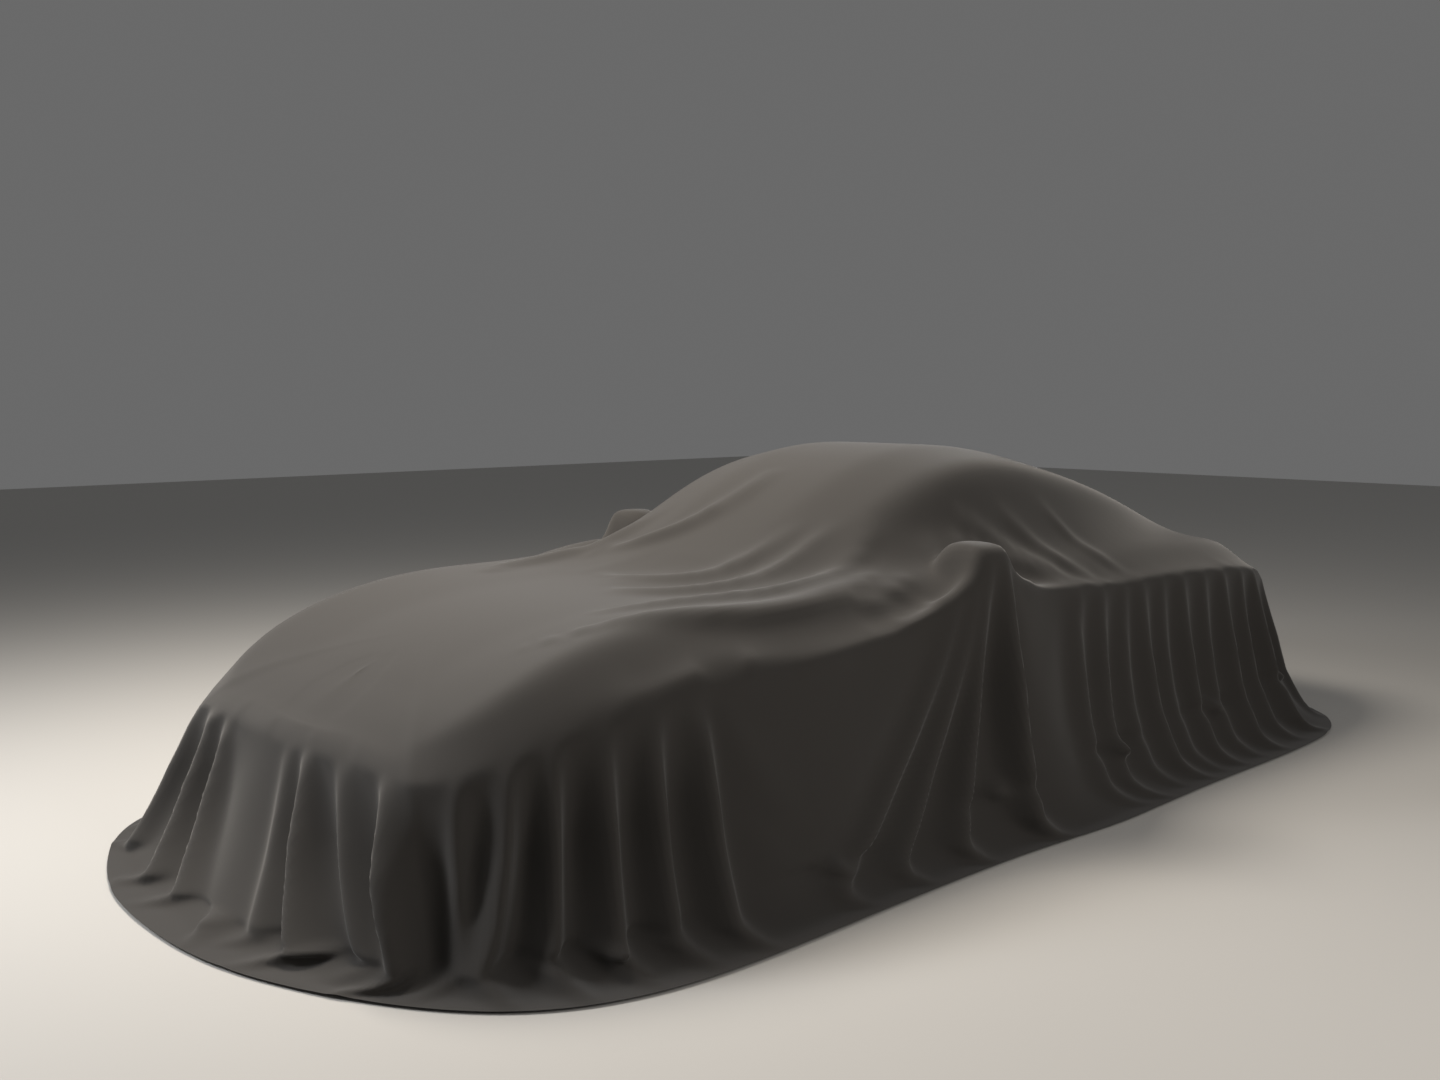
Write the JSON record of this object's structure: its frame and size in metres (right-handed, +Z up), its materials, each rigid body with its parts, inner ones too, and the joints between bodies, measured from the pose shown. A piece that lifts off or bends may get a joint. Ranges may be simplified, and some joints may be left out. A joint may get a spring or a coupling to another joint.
{
  "type": "grand tourer",
  "caption": "Low two-door fastback coupe under a floor-length cloth cover, with opening doors, bonnet and boot lid, steered front wheels and a full cabin.",
  "frame": {"origin": "on the floor, in the middle of the rectangle the cover's hem lies in", "axes": "+X towards the nose, +Y to the car's left, +Z up"},
  "size_m": [5.64, 2.72, 1.3579],
  "materials": {
    "paint": "deep metallic gloss",
    "window": "tinted safety glass",
    "underbody": "satin black",
    "wheel_alloy": "satin",
    "tyre": "matte",
    "brake_iron": "machined faces",
    "grille_black": "gloss black",
    "engine_alloy": "cast",
    "radiator_core": "matte fins",
    "exhaust_steel": "brushed",
    "lamp_clear": "clear lens",
    "lamp_red": "clear red lens",
    "seat_leather": "grained",
    "dash": "soft grain",
    "wheel_leather": "smooth",
    "cover_cloth": "matte brushed weave"
  },
  "bodies": {
    "chassis": {"floor_pan": "underbody", "cabin_frame": "paint", "roof_panel": "paint", "windscreen": "window", "rear_window": "window", "front_bumper": "paint", "rear_bumper": "paint", "grille": "grille_black", "engine_block": "engine_alloy", "radiator": "radiator_core", "exhaust": "exhaust_steel", "front_suspension": "underbody", "rear_axle": "underbody", "rear_seat": "seat_leather", "dashboard": "dash", "centre_console": "dash", "front_seats": "seat_leather", "front_wing_left": "paint", "front_wing_right": "paint", "body_side_left": "paint", "body_side_right": "paint", "quarter_windows": "window", "headlamps": "lamp_clear", "tail_lamps": "lamp_red"},
    "bonnet": {"bonnet": "paint"},
    "boot_lid": {"boot_lid": "paint"},
    "door_left": {"door_left": "paint", "door_glass_left": "window", "mirror_left": "paint"},
    "door_right": {"door_right": "paint", "door_glass_right": "window", "mirror_right": "paint"},
    "knuckle_left": {"knuckle_left": "underbody"},
    "knuckle_right": {"knuckle_right": "underbody"},
    "steering_wheel": {"steering_wheel": "wheel_leather"},
    "wheel_front_left": {"rim_front_left": "wheel_alloy", "tyre_front_left": "tyre", "brake_disc_front_left": "brake_iron"},
    "wheel_front_right": {"rim_front_right": "wheel_alloy", "tyre_front_right": "tyre", "brake_disc_front_right": "brake_iron"},
    "wheel_rear_left": {"rim_rear_left": "wheel_alloy", "tyre_rear_left": "tyre", "brake_disc_rear_left": "brake_iron"},
    "wheel_rear_right": {"rim_rear_right": "wheel_alloy", "tyre_rear_right": "tyre", "brake_disc_rear_right": "brake_iron"},
    "cover": {"cover": "cover_cloth"}
  },
  "joints": [
    {"name": "cover_lift", "type": "slide", "parent": "chassis", "child": "cover", "axis": [0, 0, 1], "range_m": [0, 1.6]},
    {"name": "door_left_hinge", "type": "hinge", "parent": "chassis", "child": "door_left", "pos_m": [0.696, 0.9, 0.5], "axis": [0, 0, -1], "range_deg": [0, 65], "deforming": ["cover"]},
    {"name": "door_right_hinge", "type": "hinge", "parent": "chassis", "child": "door_right", "pos_m": [0.696, -0.9, 0.5], "axis": [0, 0, 1], "range_deg": [0, 65], "deforming": ["cover"]},
    {"name": "bonnet_hinge", "type": "hinge", "parent": "chassis", "child": "bonnet", "pos_m": [0.832, 0, 0.878], "axis": [0, -1, 0], "range_deg": [0, 50], "deforming": ["cover"]},
    {"name": "boot_hinge", "type": "hinge", "parent": "chassis", "child": "boot_lid", "pos_m": [-1.674, 0, 0.975], "axis": [0, 1, 0], "range_deg": [0, 70], "deforming": ["cover"]},
    {"name": "steer_left", "type": "hinge", "parent": "chassis", "child": "knuckle_left", "pos_m": [1.425, 0.74, 0.345], "axis": [0, 0, 1], "range_deg": [-33, 33]},
    {"name": "steer_right", "type": "hinge", "parent": "chassis", "child": "knuckle_right", "pos_m": [1.425, -0.74, 0.345], "axis": [0, 0, 1], "range_deg": [-33, 33]},
    {"name": "steering_wheel_turn", "type": "hinge", "parent": "chassis", "child": "steering_wheel", "pos_m": [0.3, 0.375, 0.8], "axis": [-0.9135, 0, 0.4067], "range_deg": [-450, 450]},
    {"name": "wheel_front_left_spin", "type": "hinge", "parent": "knuckle_left", "child": "wheel_front_left", "pos_m": [1.425, 0.815, 0.345], "axis": [0, 1, 0], "continuous": true},
    {"name": "wheel_front_right_spin", "type": "hinge", "parent": "knuckle_right", "child": "wheel_front_right", "pos_m": [1.425, -0.815, 0.345], "axis": [0, 1, 0], "continuous": true},
    {"name": "wheel_rear_left_spin", "type": "hinge", "parent": "chassis", "child": "wheel_rear_left", "pos_m": [-1.3, 0.815, 0.345], "axis": [0, 1, 0], "continuous": true},
    {"name": "wheel_rear_right_spin", "type": "hinge", "parent": "chassis", "child": "wheel_rear_right", "pos_m": [-1.3, -0.815, 0.345], "axis": [0, 1, 0], "continuous": true}
  ],
  "couplings": [
    {"joint": "steer_right", "follows": "steer_left", "ratio": 1},
    {"joint": "steering_wheel_turn", "follows": "steer_left", "ratio": 13.6}
  ]
}
